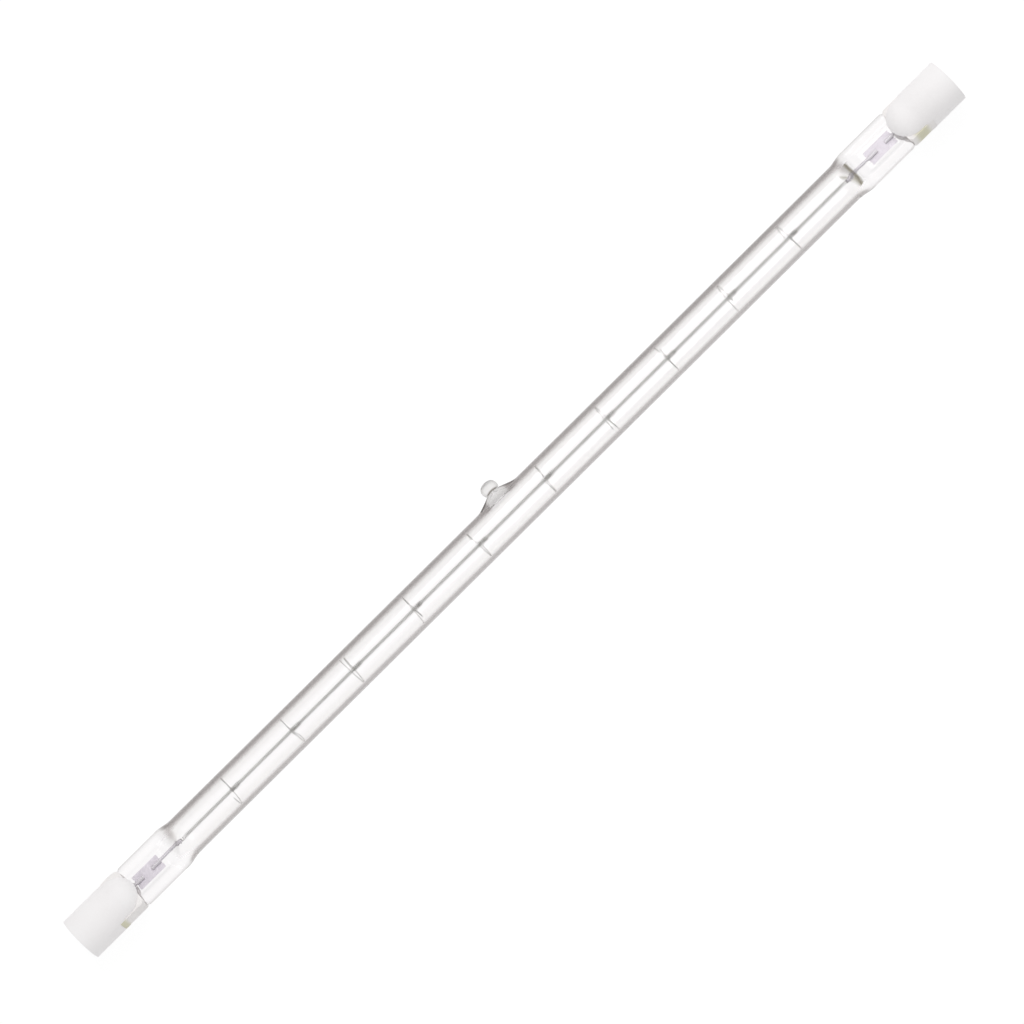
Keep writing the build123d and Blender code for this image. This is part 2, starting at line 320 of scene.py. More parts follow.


# The glass's colour is painted shade: it lies on the outer wall and is darkest where that is seen at a slant,
# most of all on the side of the exhaust tip.
# The seals, the mound and the knob have painted shades of their own, and the neck a painted dark ring.
def makeQuartz(name, look):
    material, tree, shader, place = startMaterial(name)
    facing = tree.nodes.new("ShaderNodeLayerWeight")
    facing.inputs["Blend"].default_value = look["facingBlend"]
    # Painted shade: the edge, calm and seal ramps darken the glass by facing, standing in for the dark
    # refraction seen at a slant.
    edge = addRamp(tree, facing.outputs["Facing"], look["edgeStops"])
    calm = addRamp(tree, facing.outputs["Facing"], look["calmStops"])
    seal = addRamp(tree, facing.outputs["Facing"], look["sealStops"])
    split = tree.nodes.new("ShaderNodeSeparateXYZ")
    tree.links.new(place.outputs["Object"], split.inputs["Vector"])
    reach = tree.nodes.new("ShaderNodeVectorMath")
    reach.operation = "DOT_PRODUCT"
    reach.inputs[1].default_value = (0, math.cos(lampRoll()), -math.sin(lampRoll()))
    tree.links.new(place.outputs["Object"], reach.inputs[0])
    reach = reach.outputs["Value"]
    away = addMath(tree, "ABSOLUTE", split.outputs["X"])
    ends = addRange(tree, away, look["calmFrom"], look["calmTo"])
    bendEnds = addRange(tree, away, look["bendFrom"], look["bendTo"])
    beside = addMath(tree, "SUBTRACT", split.outputs["X"], lamp["tipOffset"] * lamp["millimetre"])
    beside = addMath(tree, "ABSOLUTE", beside)
    towards = addRange(tree, reach, *look["moundReach"])
    moundNear, moundFar = look["moundHalf"]
    mound = addMath(tree, "MULTIPLY", addRange(tree, beside, moundFar, moundNear), towards)
    wideNear, wideFar = look["moundWide"]
    wide = addMath(tree, "MULTIPLY", addRange(tree, beside, wideFar, wideNear), towards)
    knob = addRange(tree, reach, *look["knobReach"])
    neck = addMath(tree, "SUBTRACT", reach, look["neckReach"][0] * lamp["millimetre"])
    neck = addRange(tree, addMath(tree, "ABSOLUTE", neck), look["neckReach"][1], 0.0)
    calmShare = addMath(tree, "MAXIMUM", addMath(tree, "MAXIMUM", ends, mound), knob)
    # Painted shade: the side towards the exhaust tip is darker at a slant, standing in for light that falls
    # from one side; near the crown that shade is lifted.
    darkSide = addRange(tree, split.outputs["Y"], *look["darkSide"])
    dark = addRamp(tree, facing.outputs["Facing"], look["darkStops"])
    crown = addRamp(tree, facing.outputs["Facing"], look["crownStops"])
    crownSide = addRange(tree, split.outputs["Y"], *look["crownSide"])
    crownShare = addMath(tree, "MULTIPLY", crown.outputs["Color"], crownSide)
    dark = addMix(tree, crownShare, dark.outputs["Color"], (1, 1, 1))
    edge = addMix(tree, darkSide, edge.outputs["Color"], dark, "MULTIPLY")
    calm = addMix(tree, ends, calm.outputs["Color"], seal.outputs["Color"])
    paintedShade = addMix(tree, calmShare, edge, calm)
    # Painted shade: a grey on the knob and a dark ring at the neck.
    paintedShade = addMix(tree, addMath(tree, "MULTIPLY", knob, look["knobShare"]), paintedShade, look["knobTone"])
    paintedShade = addMix(tree, neck, paintedShade, look["neckTone"], "MULTIPLY")
    # A crossing of a wall applies the square root of the painted shade, so the first one has the square and
    # later ones have none.
    paintedShade = addMix(tree, 1.0, paintedShade, paintedShade, "MULTIPLY")
    later = addMath(tree, "LESS_THAN", pathShare(tree, ["Is Camera Ray"]), 0.5)  # a camera ray gives 1
    paintedShade = addMix(tree, later, paintedShade, (1, 1, 1))
    inner = tree.nodes.new("ShaderNodeAttribute")
    inner.attribute_name = "inner"
    # Painted shade: a dark line on the bore's wall near the cavity's end, where the shoulder darkens the view
    # through the glass.
    endLine = addMath(tree, "SUBTRACT", split.outputs["X"], look["endLine"][0] * lamp["millimetre"])
    endLine = addRange(tree, addMath(tree, "ABSOLUTE", endLine), look["endLine"][1], 0.0)
    wall = addMix(tree, endLine, (1, 1, 1), look["endTone"])
    paintedShade = addMix(tree, inner.outputs["Fac"], paintedShade, wall)
    tree.links.new(paintedShade, shader.inputs["Base Color"])
    bent = tree.nodes.new("ShaderNodeMapRange")
    bent.inputs["To Min"].default_value = look["refraction"]
    bent.inputs["To Max"].default_value = look["endRefraction"]
    tree.links.new(addMath(tree, "MAXIMUM", bendEnds, wide), bent.inputs["Value"])
    tree.links.new(bent.outputs["Result"], shader.inputs["IOR"])
    wave = addNoise(tree, place, look["waveScale"], look["waveDetail"])
    relief = tree.nodes.new("ShaderNodeBump")
    relief.inputs["Strength"].default_value = look["waveStrength"]
    relief.inputs["Distance"].default_value = look["waveDepth"] * lamp["millimetre"]
    tree.links.new(wave.outputs["Fac"], relief.inputs["Height"])
    tree.links.new(relief.outputs["Normal"], shader.inputs["Normal"])
    tree.links.new(addMath(tree, "MULTIPLY", knob, look["knobRoughness"]), shader.inputs["Roughness"])
    shader.inputs["Transmission Weight"].default_value = 1.0
    clear = tree.nodes.new("ShaderNodeBsdfTransparent")
    passes = tree.nodes.new("ShaderNodeMixShader")
    # Light that is thrown about inside the glass leaves it greyed. What lies inside is lit through the glass.
    path = tree.nodes.new("ShaderNodeLightPath")
    past = [addMath(tree, "GREATER_THAN", path.outputs[depth], most) for depth, most in look["depthLimits"]]
    deep = addMath(tree, "MAXIMUM", *past)
    tree.links.new(addMix(tree, deep, (1, 1, 1), look["deepTone"]), clear.inputs["Color"])
    through = addMath(tree, "MAXIMUM", pathShare(tree, ["Is Shadow Ray", "Is Diffuse Ray"]), deep)
    tree.links.new(through, passes.inputs["Fac"])
    tree.links.new(shader.outputs["BSDF"], passes.inputs[1])
    tree.links.new(clear.outputs["BSDF"], passes.inputs[2])
    tree.links.new(passes.outputs["Shader"], tree.nodes["Material Output"].inputs["Surface"])
    return material


ceramicLook = {
    "cloudScale": 90.0, "grainScale": 1900.0, "grainShare": 0.35, "metallic": 0.0,
    "tones": [(0.35, (0.83, 0.808, 0.81)), (0.65, (0.885, 0.865, 0.867)), (1.0, (0.91, 0.90, 0.90))],
    "roughness": (0.5, 0.75), "bumpStrength": 0.35, "bumpDepth": 0.04,
}
cementLook = {
    "cloudScale": 420.0, "grainScale": 2600.0, "grainShare": 0.5, "metallic": 0.0,
    "tones": [(0.3, (0.76, 0.735, 0.72)), (0.7, (0.86, 0.835, 0.825)), (1.0, (0.90, 0.88, 0.87))],
    "roughness": (0.7, 0.95), "bumpStrength": 0.8, "bumpDepth": 0.12,
    "stain": (0.68, 0.66, 0.51),
    "stainSide": (0.5, -1.5),
    "stainCore": 0.3,
    "stainPlaces": [(-118.3, 1.6), (115.4, 2.4)],
}
tungstenLook = {
    "cloudScale": 300.0, "grainScale": 4000.0, "grainShare": 0.3, "metallic": 1.0,
    "tones": [(0.3, (0.34, 0.33, 0.32)), (0.7, (0.46, 0.45, 0.43)), (1.0, (0.58, 0.57, 0.55))],
    "roughness": (0.4, 0.6), "bumpStrength": 0.2, "bumpDepth": 0.01,
}
leadLook = {
    "cloudScale": 300.0, "grainScale": 4000.0, "grainShare": 0.3, "metallic": 0.35,
    "tones": [(0.3, (0.58, 0.56, 0.59)), (0.7, (0.67, 0.65, 0.68)), (1.0, (0.76, 0.74, 0.77))],
    "roughness": (0.5, 0.7), "bumpStrength": 0.3, "bumpDepth": 0.01,
}
molybdenumLook = {
    "cloudScale": 380.0, "grainScale": 3200.0, "grainShare": 0.4, "metallic": 0.2,
    "tones": [(0.3, (0.62, 0.585, 0.64)), (0.7, (0.71, 0.675, 0.73)), (1.0, (0.79, 0.76, 0.81))],
    "roughness": (0.5, 0.7), "bumpStrength": 0.4, "bumpDepth": 0.03,
}
contactLook = {
    "cloudScale": 500.0, "grainScale": 3600.0, "grainShare": 0.3, "metallic": 1.0,
    "tones": [(0.3, (0.52, 0.50, 0.46)), (0.7, (0.66, 0.64, 0.60)), (1.0, (0.74, 0.72, 0.69))],
    "roughness": (0.22, 0.42), "bumpStrength": 0.3, "bumpDepth": 0.02,
}


def stainCement(material, look):
    tree = material.node_tree
    shader = tree.nodes["Principled BSDF"]
    tone = shader.inputs["Base Color"].links[0].from_socket
    split = tree.nodes.new("ShaderNodeSeparateXYZ")
    place = tree.nodes.new("ShaderNodeTexCoord")
    tree.links.new(place.outputs["Object"], split.inputs["Vector"])
    for middle, spread in look["stainPlaces"]:
        away = addMath(tree, "SUBTRACT", split.outputs["X"], middle * lamp["millimetre"])
        share = addRange(tree, addMath(tree, "ABSOLUTE", away), spread, look["stainCore"] * spread)
        share = addMath(tree, "MULTIPLY", share, addRange(tree, split.outputs["Y"], *look["stainSide"]))
        tone = addMix(tree, share, tone, look["stain"])
    tree.links.new(tone, shader.inputs["Base Color"])


quartz = makeQuartz("quartzGlass", quartzLook)
ceramic = makeFinish("steatiteCeramic", ceramicLook)
cement = makeFinish("sealingCement", cementLook)
stainCement(cement, cementLook)
tungsten = makeFinish("tungstenWire", tungstenLook)
leadMetal = makeFinish("leadWire", leadLook)
molybdenum = makeFinish("molybdenumFoil", molybdenumLook)
contactMetal = makeFinish("nickelContact", contactLook)
print("stage: materials made")

envelope = {
    "around": 144,
    "tubeEndX": 96.6,
    "tubeSteps": 16,
    "tubeRoom": 0.2,
    "shoulderRoom": 0.3,
    "shoulder": {"thickStart": 96.3, "thickStop": 101.4, "wideStart": 96.4, "wideStop": 100.6, "steps": 18},
    "sealHalfWidth": 5.4,
    "hiddenHalfWidth": 4.85,
    "hiddenFrom": {"left": 111.3, "right": 111.9},
    "hiddenRun": 0.9,
    "sealHalfThickness": 1.6,
    "sealStopX": 117.85,
    "panelStartX": 102.0,
    "panelStopX": 116.6,
    "panelHalfWidth": 3.85,
    "panelRamp": 1.3,
    "panelEndHalf": 0.5,
    "panelDepth": 0.35,
    "sealSteps": 26,
    "mound": {"halfLength": 5.5, "halfAngle": 40.0, "steps": 26, "rings": 16, "height": 1.8, "power": 1.4,
              "neckRadius": 1.35},
    "knobRings": [(1.4, 6.45), (1.62, 6.6), (1.82, 6.8), (1.93, 7.05), (lamp["tipRadius"], 7.35)],
    "knobRoundSteps": 9,
    "nibDrop": 0.2,
    "nibRings": [(0.6, 0.0, 0.25), (0.42, 0.03, 0.6), (0.28, 0.10, 0.75), (0.14, 0.15, 0.8)],
    "softRings": 8,
    "softShare": 0.5,
}
cavity = {
    "around": 120,
    "straightX": 95.6,
    "tubeSteps": 12,
    "end": {"left": 100.5, "right": 99.9},
    "endHalfWidth": 2.9,
    "endHalfThickness": 0.55,
    "steps": 14,
    "funnel": {"halfLength": 4.3, "halfAngle": 36.0, "steps": 18, "rings": 12, "height": 2.3, "power": 1.4,
               "neckRadius": 0.45},
    "closingRings": [(0.42, 6.0), (0.36, 6.12), (0.26, 6.2), (0.12, 6.24)],
}


# A point at a share of the way round a slot's outline, which has two flats and two round ends.
def slotPoint(share, halfWidth, halfThickness):
    run = max(0.0, halfWidth - halfThickness)
    quarter = math.pi * halfThickness / 2
    length = share * (4 * run + 4 * quarter)
    if length <= quarter:
        turn = length / halfThickness
        return run + halfThickness * math.cos(turn), halfThickness * math.sin(turn)
    length -= quarter
    if length <= 2 * run:
        return run - length, halfThickness
    length -= 2 * run
    if length <= 2 * quarter:
        turn = math.pi / 2 + length / halfThickness
        return halfThickness * math.cos(turn) - run, halfThickness * math.sin(turn)
    length -= 2 * quarter
    if length <= 2 * run:
        return length - run, -halfThickness
    turn = 1.5 * math.pi + (length - 2 * run) / halfThickness
    return run + halfThickness * math.cos(turn), halfThickness * math.sin(turn)


def envelopeSection(x):
    shoulder = envelope["shoulder"]
    thin = smoothShare(abs(x), shoulder["thickStart"], shoulder["thickStop"])
    wide = smoothShare(abs(x), shoulder["wideStart"], shoulder["wideStop"])
    halfWidth = mixNumber(lamp["tubeRadius"], envelope["sealHalfWidth"], wide)
    hiddenFrom = envelope["hiddenFrom"]["left" if x < 0 else "right"]
    hidden = smoothShare(abs(x), hiddenFrom, hiddenFrom + envelope["hiddenRun"])
    halfWidth = mixNumber(halfWidth, envelope["hiddenHalfWidth"], hidden)
    halfThickness = mixNumber(lamp["tubeRadius"], envelope["sealHalfThickness"], thin)
    half = envelope["panelEndHalf"]
    panel = smoothShare(abs(x), envelope["panelStartX"] - half, envelope["panelStartX"] + half)
    panel *= 1 - smoothShare(abs(x), envelope["panelStopX"] - half, envelope["panelStopX"] + half)
    return halfWidth, halfThickness, panel * envelope["panelDepth"]


def cavitySection(x):
    name = "left" if x < 0 else "right"
    share = smoothShare(abs(x), cavity["straightX"], cavity["end"][name])
    halfWidth = mixNumber(lamp["boreRadius"], cavity["endHalfWidth"], share)
    halfThickness = mixNumber(lamp["boreRadius"], cavity["endHalfThickness"], share)
    return halfWidth, halfThickness, 0.0


def shapeRing(ring, turnLayer, count, x, section):
    halfWidth, halfThickness, panelDepth = section(x)
    for vert in ring:
        y, z = slotPoint(vert[turnLayer] / count, halfWidth, halfThickness)
        sunk = panelDepth * smoothShare(envelope["panelHalfWidth"] - abs(y), 0, envelope["panelRamp"])
        z -= math.copysign(sunk, z)
        vert.co = (x, y, z)


def makeShell(stations, count, section):
    bm = bmesh.new()
    bm.verts.layers.float.new("inner")  # the glass reads it to tell the bore's wall from the outer one
    turnLayer, ring, edges = startRing(bm, count)
    shapeRing(ring, turnLayer, count, stations[0], section)
    bmesh.ops.contextual_create(bm, geom=edges)
    for x in stations[1:]:
        ring, edges = extrudeRing(bm, edges)
        shapeRing(ring, turnLayer, count, x, section)
    bmesh.ops.contextual_create(bm, geom=edges)
    return bm


# Opens the wall under the exhaust tip; each point of the rim keeps the number of its place there.
def openWindow(bm, halfLength, halfAngle):
    tipX = lamp["tipOffset"]
    inside = []
    for face in bm.faces:
        middle = face.calc_center_median()
        angle = math.degrees(math.atan2(middle.z, middle.y))
        if abs(middle.x - tipX) < halfLength and abs(angle) < halfAngle:
            inside.append(face)
    bmesh.ops.delete(bm, geom=inside, context="FACES")
    rim = [edge for edge in bm.edges if edge.is_boundary]
    spotLayer = bm.verts.layers.int.new("spot")
    places = []
    for vert in {vert for edge in rim for vert in edge.verts}:
        vert[spotLayer] = len(places)
        places.append(vert.co.copy())
    return rim, spotLayer, places


def growRing(bm, rim, spotLayer, places, placeFor):
    ring, edges = extrudeRing(bm, rim)
    for vert in ring:
        vert.co = placeFor(places[vert[spotLayer]])
    return ring, edges


# The glass that is drawn up from the rim: first a rising slope, then level rings of any radius.
def drawnPlaces(places, drawn, wallRadius):
    tipX = lamp["tipOffset"]
    wide = max(abs(place.z) for place in places)
    long = max(abs(place.x - tipX) for place in places)

    def turnOf(start):
        return math.atan2(start.z / wide, (start.x - tipX) / long)

    def rising(share):
        def place(start):
            turn = turnOf(start)
            x = mixNumber(drawn["neckRadius"] * math.cos(turn), start.x - tipX, share)
            z = mixNumber(drawn["neckRadius"] * math.sin(turn), start.z, share)
            rise = drawn["height"] * (1 - share) ** drawn["power"]
            return Vector((tipX + x, math.sqrt(wallRadius ** 2 - z ** 2) + rise, z))
        return place

    def level(radius, reach, lean=0):
        def place(start):
            turn = turnOf(start)
            return Vector((tipX + lean + radius * math.cos(turn), reach, radius * math.sin(turn)))
        return place

    return rising, level


def spreadRow(start, stop, steps):
    return [mixNumber(start, stop, number / steps) for number in range(steps + 1)]


def makeOuterShell():
    mound = envelope["mound"]
    tipX = lamp["tipOffset"]
    shoulder = envelope["shoulder"]
    sealX = shoulder["wideStop"] + envelope["shoulderRoom"]
    tubeX = envelope["tubeEndX"] - envelope["tubeRoom"]
    seal = spreadRow(envelope["sealStopX"], sealX, envelope["sealSteps"])
    slope = spreadRow(sealX, tubeX, shoulder["steps"])[1:]
    run = spreadRow(tubeX, tipX + mound["halfLength"], envelope["tubeSteps"])[1:]
    half = seal + slope
    stations = [-x for x in half]
    stations += spreadRow(stations[-1], tipX - mound["halfLength"], envelope["tubeSteps"])[1:]
    stations += spreadRow(tipX - mound["halfLength"], tipX + mound["halfLength"], mound["steps"])[1:]
    stations += list(reversed(run))[1:]
    stations += list(reversed(half))
    bm = makeShell(stations, envelope["around"], envelopeSection)
    rim, spotLayer, places = openWindow(bm, mound["halfLength"], mound["halfAngle"])
    rising, level = drawnPlaces(places, mound, lamp["tubeRadius"])
    soft = []
    for number in range(1, mound["rings"] + 1):
        ring, rim = growRing(bm, rim, spotLayer, places, rising(1 - number / mound["rings"]))
        soft += ring
    for radius, reach in envelope["knobRings"]:
        ring, rim = growRing(bm, rim, spotLayer, places, level(radius, reach))
        soft += ring
    tipR = lamp["tipRadius"]
    endR = lamp["tipEndRadius"]
    top = lamp["tipReach"] - envelope["nibDrop"]
    for step in range(1, envelope["knobRoundSteps"]):
        turn = math.radians(90 * step / envelope["knobRoundSteps"])
        radius = tipR - endR + endR * math.cos(turn)
        reach = top - endR + endR * math.sin(turn)
        ring, rim = growRing(bm, rim, spotLayer, places, level(radius, reach))
    for radius, lift, lean in envelope["nibRings"]:
        ring, rim = growRing(bm, rim, spotLayer, places, level(radius, top + lift, lean))
    bmesh.ops.contextual_create(bm, geom=rim)
    neck = soft[-envelope["softRings"] * len(ring):]
    bmesh.ops.smooth_vert(bm, verts=neck, factor=envelope["softShare"], use_axis_x=True, use_axis_y=True,
                          use_axis_z=True)
    bmesh.ops.recalc_face_normals(bm, faces=bm.faces)
    return bm


def makeInnerShell():
    funnel = cavity["funnel"]
    tipX = lamp["tipOffset"]
    left = spreadRow(-cavity["end"]["left"], -cavity["straightX"], cavity["steps"])
    right = spreadRow(cavity["straightX"], cavity["end"]["right"], cavity["steps"])
    stations = left + spreadRow(-cavity["straightX"], tipX - funnel["halfLength"], cavity["tubeSteps"])[1:]
    stations += spreadRow(tipX - funnel["halfLength"], tipX + funnel["halfLength"], funnel["steps"])[1:]
    stations += spreadRow(tipX + funnel["halfLength"], cavity["straightX"], cavity["tubeSteps"])[1:]
    stations += right[1:]
    bm = makeShell(stations, cavity["around"], cavitySection)
    rim, spotLayer, places = openWindow(bm, funnel["halfLength"], funnel["halfAngle"])
    rising, level = drawnPlaces(places, funnel, lamp["boreRadius"])
    for number in range(1, funnel["rings"] + 1):
        rim = growRing(bm, rim, spotLayer, places, rising(1 - number / funnel["rings"]))[1]
    for radius, reach in cavity["closingRings"]:
        rim = growRing(bm, rim, spotLayer, places, level(radius, reach))[1]
    bmesh.ops.contextual_create(bm, geom=rim)
    bmesh.ops.recalc_face_normals(bm, faces=bm.faces)
    bmesh.ops.reverse_faces(bm, faces=bm.faces)
    innerLayer = bm.verts.layers.float["inner"]
    for vert in bm.verts:
        vert[innerLayer] = 1.0
    return bm


glass = makeOuterShell()
appendShape(glass, makeInnerShell())
makePiece(glass, "quartzTube", quartz, ["quartz_envelope"], sharpAngle=60)

# One stretch of the coil is spun and then doubled until it has the whole length.
filament = {
    "coilRadius": 0.355,
    "wireRadius": 0.062,
    "spunTurns": 17,
    "doublings": 5,
    "stepsPerTurn": 12,
    "sides": 4,
    "stopX": 97.9,
}


def makeFilament():
    bm = bmesh.new()
    ring = bmesh.ops.create_circle(bm, segments=filament["sides"], radius=filament["wireRadius"])["verts"]
    bmesh.ops.translate(bm, verts=ring, vec=(-filament["stopX"], filament["coilRadius"], 0))
    turns = filament["spunTurns"]
    length = 2 * filament["stopX"] / 2 ** filament["doublings"]
    steps = turns * filament["stepsPerTurn"]
    bmesh.ops.spin(bm, geom=ring + list(bm.edges), angle=2 * math.pi * turns, steps=steps, axis=(1, 0, 0),
                   cent=(0, 0, 0), dvec=(length / steps, 0, 0), use_duplicate=False)
    for _ in range(filament["doublings"]):
        copied = bmesh.ops.duplicate(bm, geom=list(bm.verts) + list(bm.edges) + list(bm.faces))["geom"]
        moved = [item for item in copied if isinstance(item, bmesh.types.BMVert)]
        bmesh.ops.translate(bm, verts=moved, vec=(length, 0, 0))
        length *= 2
    bmesh.ops.remove_doubles(bm, verts=bm.verts, dist=merge["coil"])
    bmesh.ops.holes_fill(bm, edges=[edge for edge in bm.edges if edge.is_boundary], sides=0)
    bmesh.ops.recalc_face_normals(bm, faces=bm.faces)
    return bm


makePiece(makeFilament(), "filamentCoil", tungsten, ["filament_coil"], sharpAngle=100)

# Each support is a ring at the bore's wall, an arm inwards and a grip of a few turns round the coil.
support = {
    "wireRadius": 0.07,
    "wireRounding": 1,
    "ringRadius": 3.42,
    "ringDrift": 0.9,
    "ringOpening": 44.0,
    "ringPoints": 44,
    "armShares": [0.12, 0.3, 0.55, 0.8, 0.93],
    "armBend": 26.0,
    "armBendRun": 1.3,
    "gripStart": 0.1,
    "gripRadius": 0.5,
    "gripTurns": 5,
    "gripPointsPerTurn": 12,
    "gripPitch": 0.42,
    "stepAngle": 137.5,
    "places": [-83.0, -65.2, -47.4, -29.55, -10.35, 9.05, 26.9, 44.7, 62.5, 80.35],
}


def makeWire(points, radius, rounding):
    curve = bpy.data.curves.new("wire", "CURVE")
    curve.dimensions = "3D"
    curve.bevel_depth = radius
    curve.bevel_resolution = rounding
    curve.use_fill_caps = True
    spline = curve.splines.new("POLY")
    spline.points.add(len(points) - 1)
    for knot, point in zip(spline.points, points):
        knot.co = (*point, 1)
    item = bpy.data.objects.new("wire", curve)
    bpy.context.scene.collection.objects.link(item)
    mesh = bpy.data.meshes.new_from_object(item.evaluated_get(bpy.context.evaluated_depsgraph_get()))
    bm = bmesh.new()
    bm.from_mesh(mesh)
    bpy.data.objects.remove(item)
    bpy.data.curves.remove(curve)
    bpy.data.meshes.remove(mesh)
    bmesh.ops.remove_doubles(bm, verts=bm.verts, dist=merge["wire"])
    bmesh.ops.recalc_face_normals(bm, faces=bm.faces)
    return bm


def supportPath(x, angle):
    points = []
    swing = 360 - support["ringOpening"]
    for number in range(support["ringPoints"] + 1):
        turn = math.radians(angle + swing * number / support["ringPoints"])
        slide = x + support["ringDrift"] * (number / support["ringPoints"] - 0.5)
        points.append((slide, support["ringRadius"] * math.cos(turn), support["ringRadius"] * math.sin(turn)))
    turn = math.radians(angle + swing)
    for share in support["armShares"]:
        radius = mixNumber(support["ringRadius"], support["gripRadius"], share)
        bendShare = math.sin(math.pi * min(1, share * support["armBendRun"]))
        bend = turn + math.radians(support["armBend"] * bendShare)
        slide = x + mixNumber(support["ringDrift"] / 2, support["gripStart"], share)
        points.append((slide, radius * math.cos(bend), radius * math.sin(bend)))
    count = support["gripTurns"] * support["gripPointsPerTurn"]
    for number in range(count + 1):
        wind = turn + 2 * math.pi * number / support["gripPointsPerTurn"]
        slide = x + support["gripStart"] + support["gripPitch"] * number / support["gripPointsPerTurn"]
        points.append((slide, support["gripRadius"] * math.cos(wind), support["gripRadius"] * math.sin(wind)))
    return points


for number, x in enumerate(support["places"], start=1):
    path = supportPath(x, number * support["stepAngle"])
    wire = makeWire(path, support["wireRadius"], support["wireRounding"])
    makePiece(wire, f"supportWire{number}", tungsten, [f"filament_support_{number}"],
              sharpAngle=80)

lead = {
    "radius": 0.35,
    "innerStops": [97.9, 98.1, 100, 102, 103.0, 103.25, 103.55, 103.85, 104.5, 105.5, 106.0, 106.15],
    "innerFlat": (103.55, 107.15),
    "outerStops": [108.55, 108.8, 109.4, 110.2, 110.45, 110.75, 111.05, 111.3, 113, 116, 119, 122.6],
    "outerFlat": (107.55, 110.75),
    "flatDepth": 0.3,
    "flatSpread": 0.25,
    "flatRamp": 0.3,
    "around": 24,
    "wrap": {"turns": {"left": 2, "right": 4}, "x": 98.0, "pitch": 0.42, "radius": 0.46, "pointsPerTurn": 14,
             "wireRadius": 0.1, "wireRounding": 1},
}


# The wire is pressed flat and a little wider where it lies on the foil.
def makeLead(side, stops, flat):
    bm = bmesh.new()
    count = lead["around"]
    ramp = lead["flatRamp"]
    turnLayer, ring, edges = startRing(bm, count)
    for number, x in enumerate(stops):
        if number:
            ring, edges = extrudeRing(bm, edges)
        pressed = smoothShare(x, flat[0] - ramp, flat[0] + ramp)
        pressed *= 1 - smoothShare(x, flat[1] - ramp, flat[1] + ramp)
        for vert in ring:
            turn = 2 * math.pi * vert[turnLayer] / count
            y = lead["radius"] * (1 + lead["flatSpread"] * pressed) * math.cos(turn)
            z = lead["radius"] * math.sin(turn)
            z = max(z, mixNumber(-lead["radius"], -lead["flatDepth"], pressed))
            vert.co = (side * x, y, z)
        if number == 0:
            bmesh.ops.contextual_create(bm, geom=edges)
    bmesh.ops.contextual_create(bm, geom=edges)
    bmesh.ops.recalc_face_normals(bm, faces=bm.faces)
    return bm


def makeWrap(name, side):
    wrap = lead["wrap"]
    count = wrap["pointsPerTurn"]
    points = []
    for number in range(wrap["turns"][name] * count + 1):
        turn = 2 * math.pi * number / count
        x = side * (wrap["x"] + wrap["pitch"] * number / count)
        points.append((x, wrap["radius"] * math.cos(turn), wrap["radius"] * math.sin(turn)))
    return makeWire(points, wrap["wireRadius"], wrap["wireRounding"])


foil = {
    "innerX": 103.55,
    "outerX": 110.75,
    "halfWidth": 1.8,
    "thickness": 0.05,
    "face": -0.3,
    "sink": 0.03,
    "crumple": 0.03,
    "crumpleScale": (1.3, 1.6),
    "crumpleSeed": 3.0,
    "cornerFrom": 0.9,
    "cornerDepth": 0.12,
    "cornerScale": 3,
    "cornerSeed": 7.0,
    "cells": (48, 24),
}


def makeFoil(side):
    bm = bmesh.new()
    bmesh.ops.create_grid(bm, x_segments=foil["cells"][0], y_segments=foil["cells"][1], size=1)
    middle = (foil["innerX"] + foil["outerX"]) / 2
    halfLength = (foil["outerX"] - foil["innerX"]) / 2
    for vert in bm.verts:
        x = vert.co.x * halfLength
        y = vert.co.y * foil["halfWidth"]
        scaleX, scaleY = foil["crumpleScale"]
        ripple = noise.noise(Vector((x * scaleX, y * scaleY, side * foil["crumpleSeed"])))
        fray = abs(noise.noise(Vector((y * foil["cornerScale"], side * foil["cornerSeed"], 0))))
        corner = smoothShare(abs(vert.co.x), foil["cornerFrom"], 1.0) * foil["cornerDepth"] * fray
        height = foil["face"] - foil["sink"] + foil["crumple"] * ripple
        vert.co = (side * middle + x * (1 - corner), y, height)
    bmesh.ops.solidify(bm, geom=list(bm.faces), thickness=foil["thickness"])
    bmesh.ops.recalc_face_normals(bm, faces=bm.faces)
    return bm


for name, side in lamp["sides"].items():
    innerLead = makeLead(side, lead["innerStops"], lead["innerFlat"])
    appendShape(innerLead, makeWrap(name, side))
    makePiece(innerLead, f"{name}InnerLead", leadMetal, [f"{name}_inner_lead"])
    outerLead = makeLead(side, lead["outerStops"], lead["outerFlat"])
    makePiece(outerLead, f"{name}OuterLead", leadMetal, [f"{name}_outer_lead"])
    makePiece(makeFoil(side), f"{name}FoilStrip", molybdenum, [f"{name}_foil"])

cap = {
    "around": 128,
    "noseX": 117.45,
    "inset": 0.002,
    "neck": 0.5,
    "lobeRadius": 4.9,
    "recessRadius": 2.7,
    "recessX": 125.35,
    "pocketRadius": 2.5,
    "pocketX": 124.35,
    "slotHalf": 1.8,
    "domePoints": 16,
    "sharpAngle": 40,
    "edgeRadius": 0.3,
    "edgeSegments": 4,
    "edgePastNose": 1,
    "slotEdge": 0.22,
    "slotSegments": 3,
    "slotRoom": 1,
    "slotAcross": 12,
    "lipFromFloor": 0.01,
    "lipReach": 0.001,
}


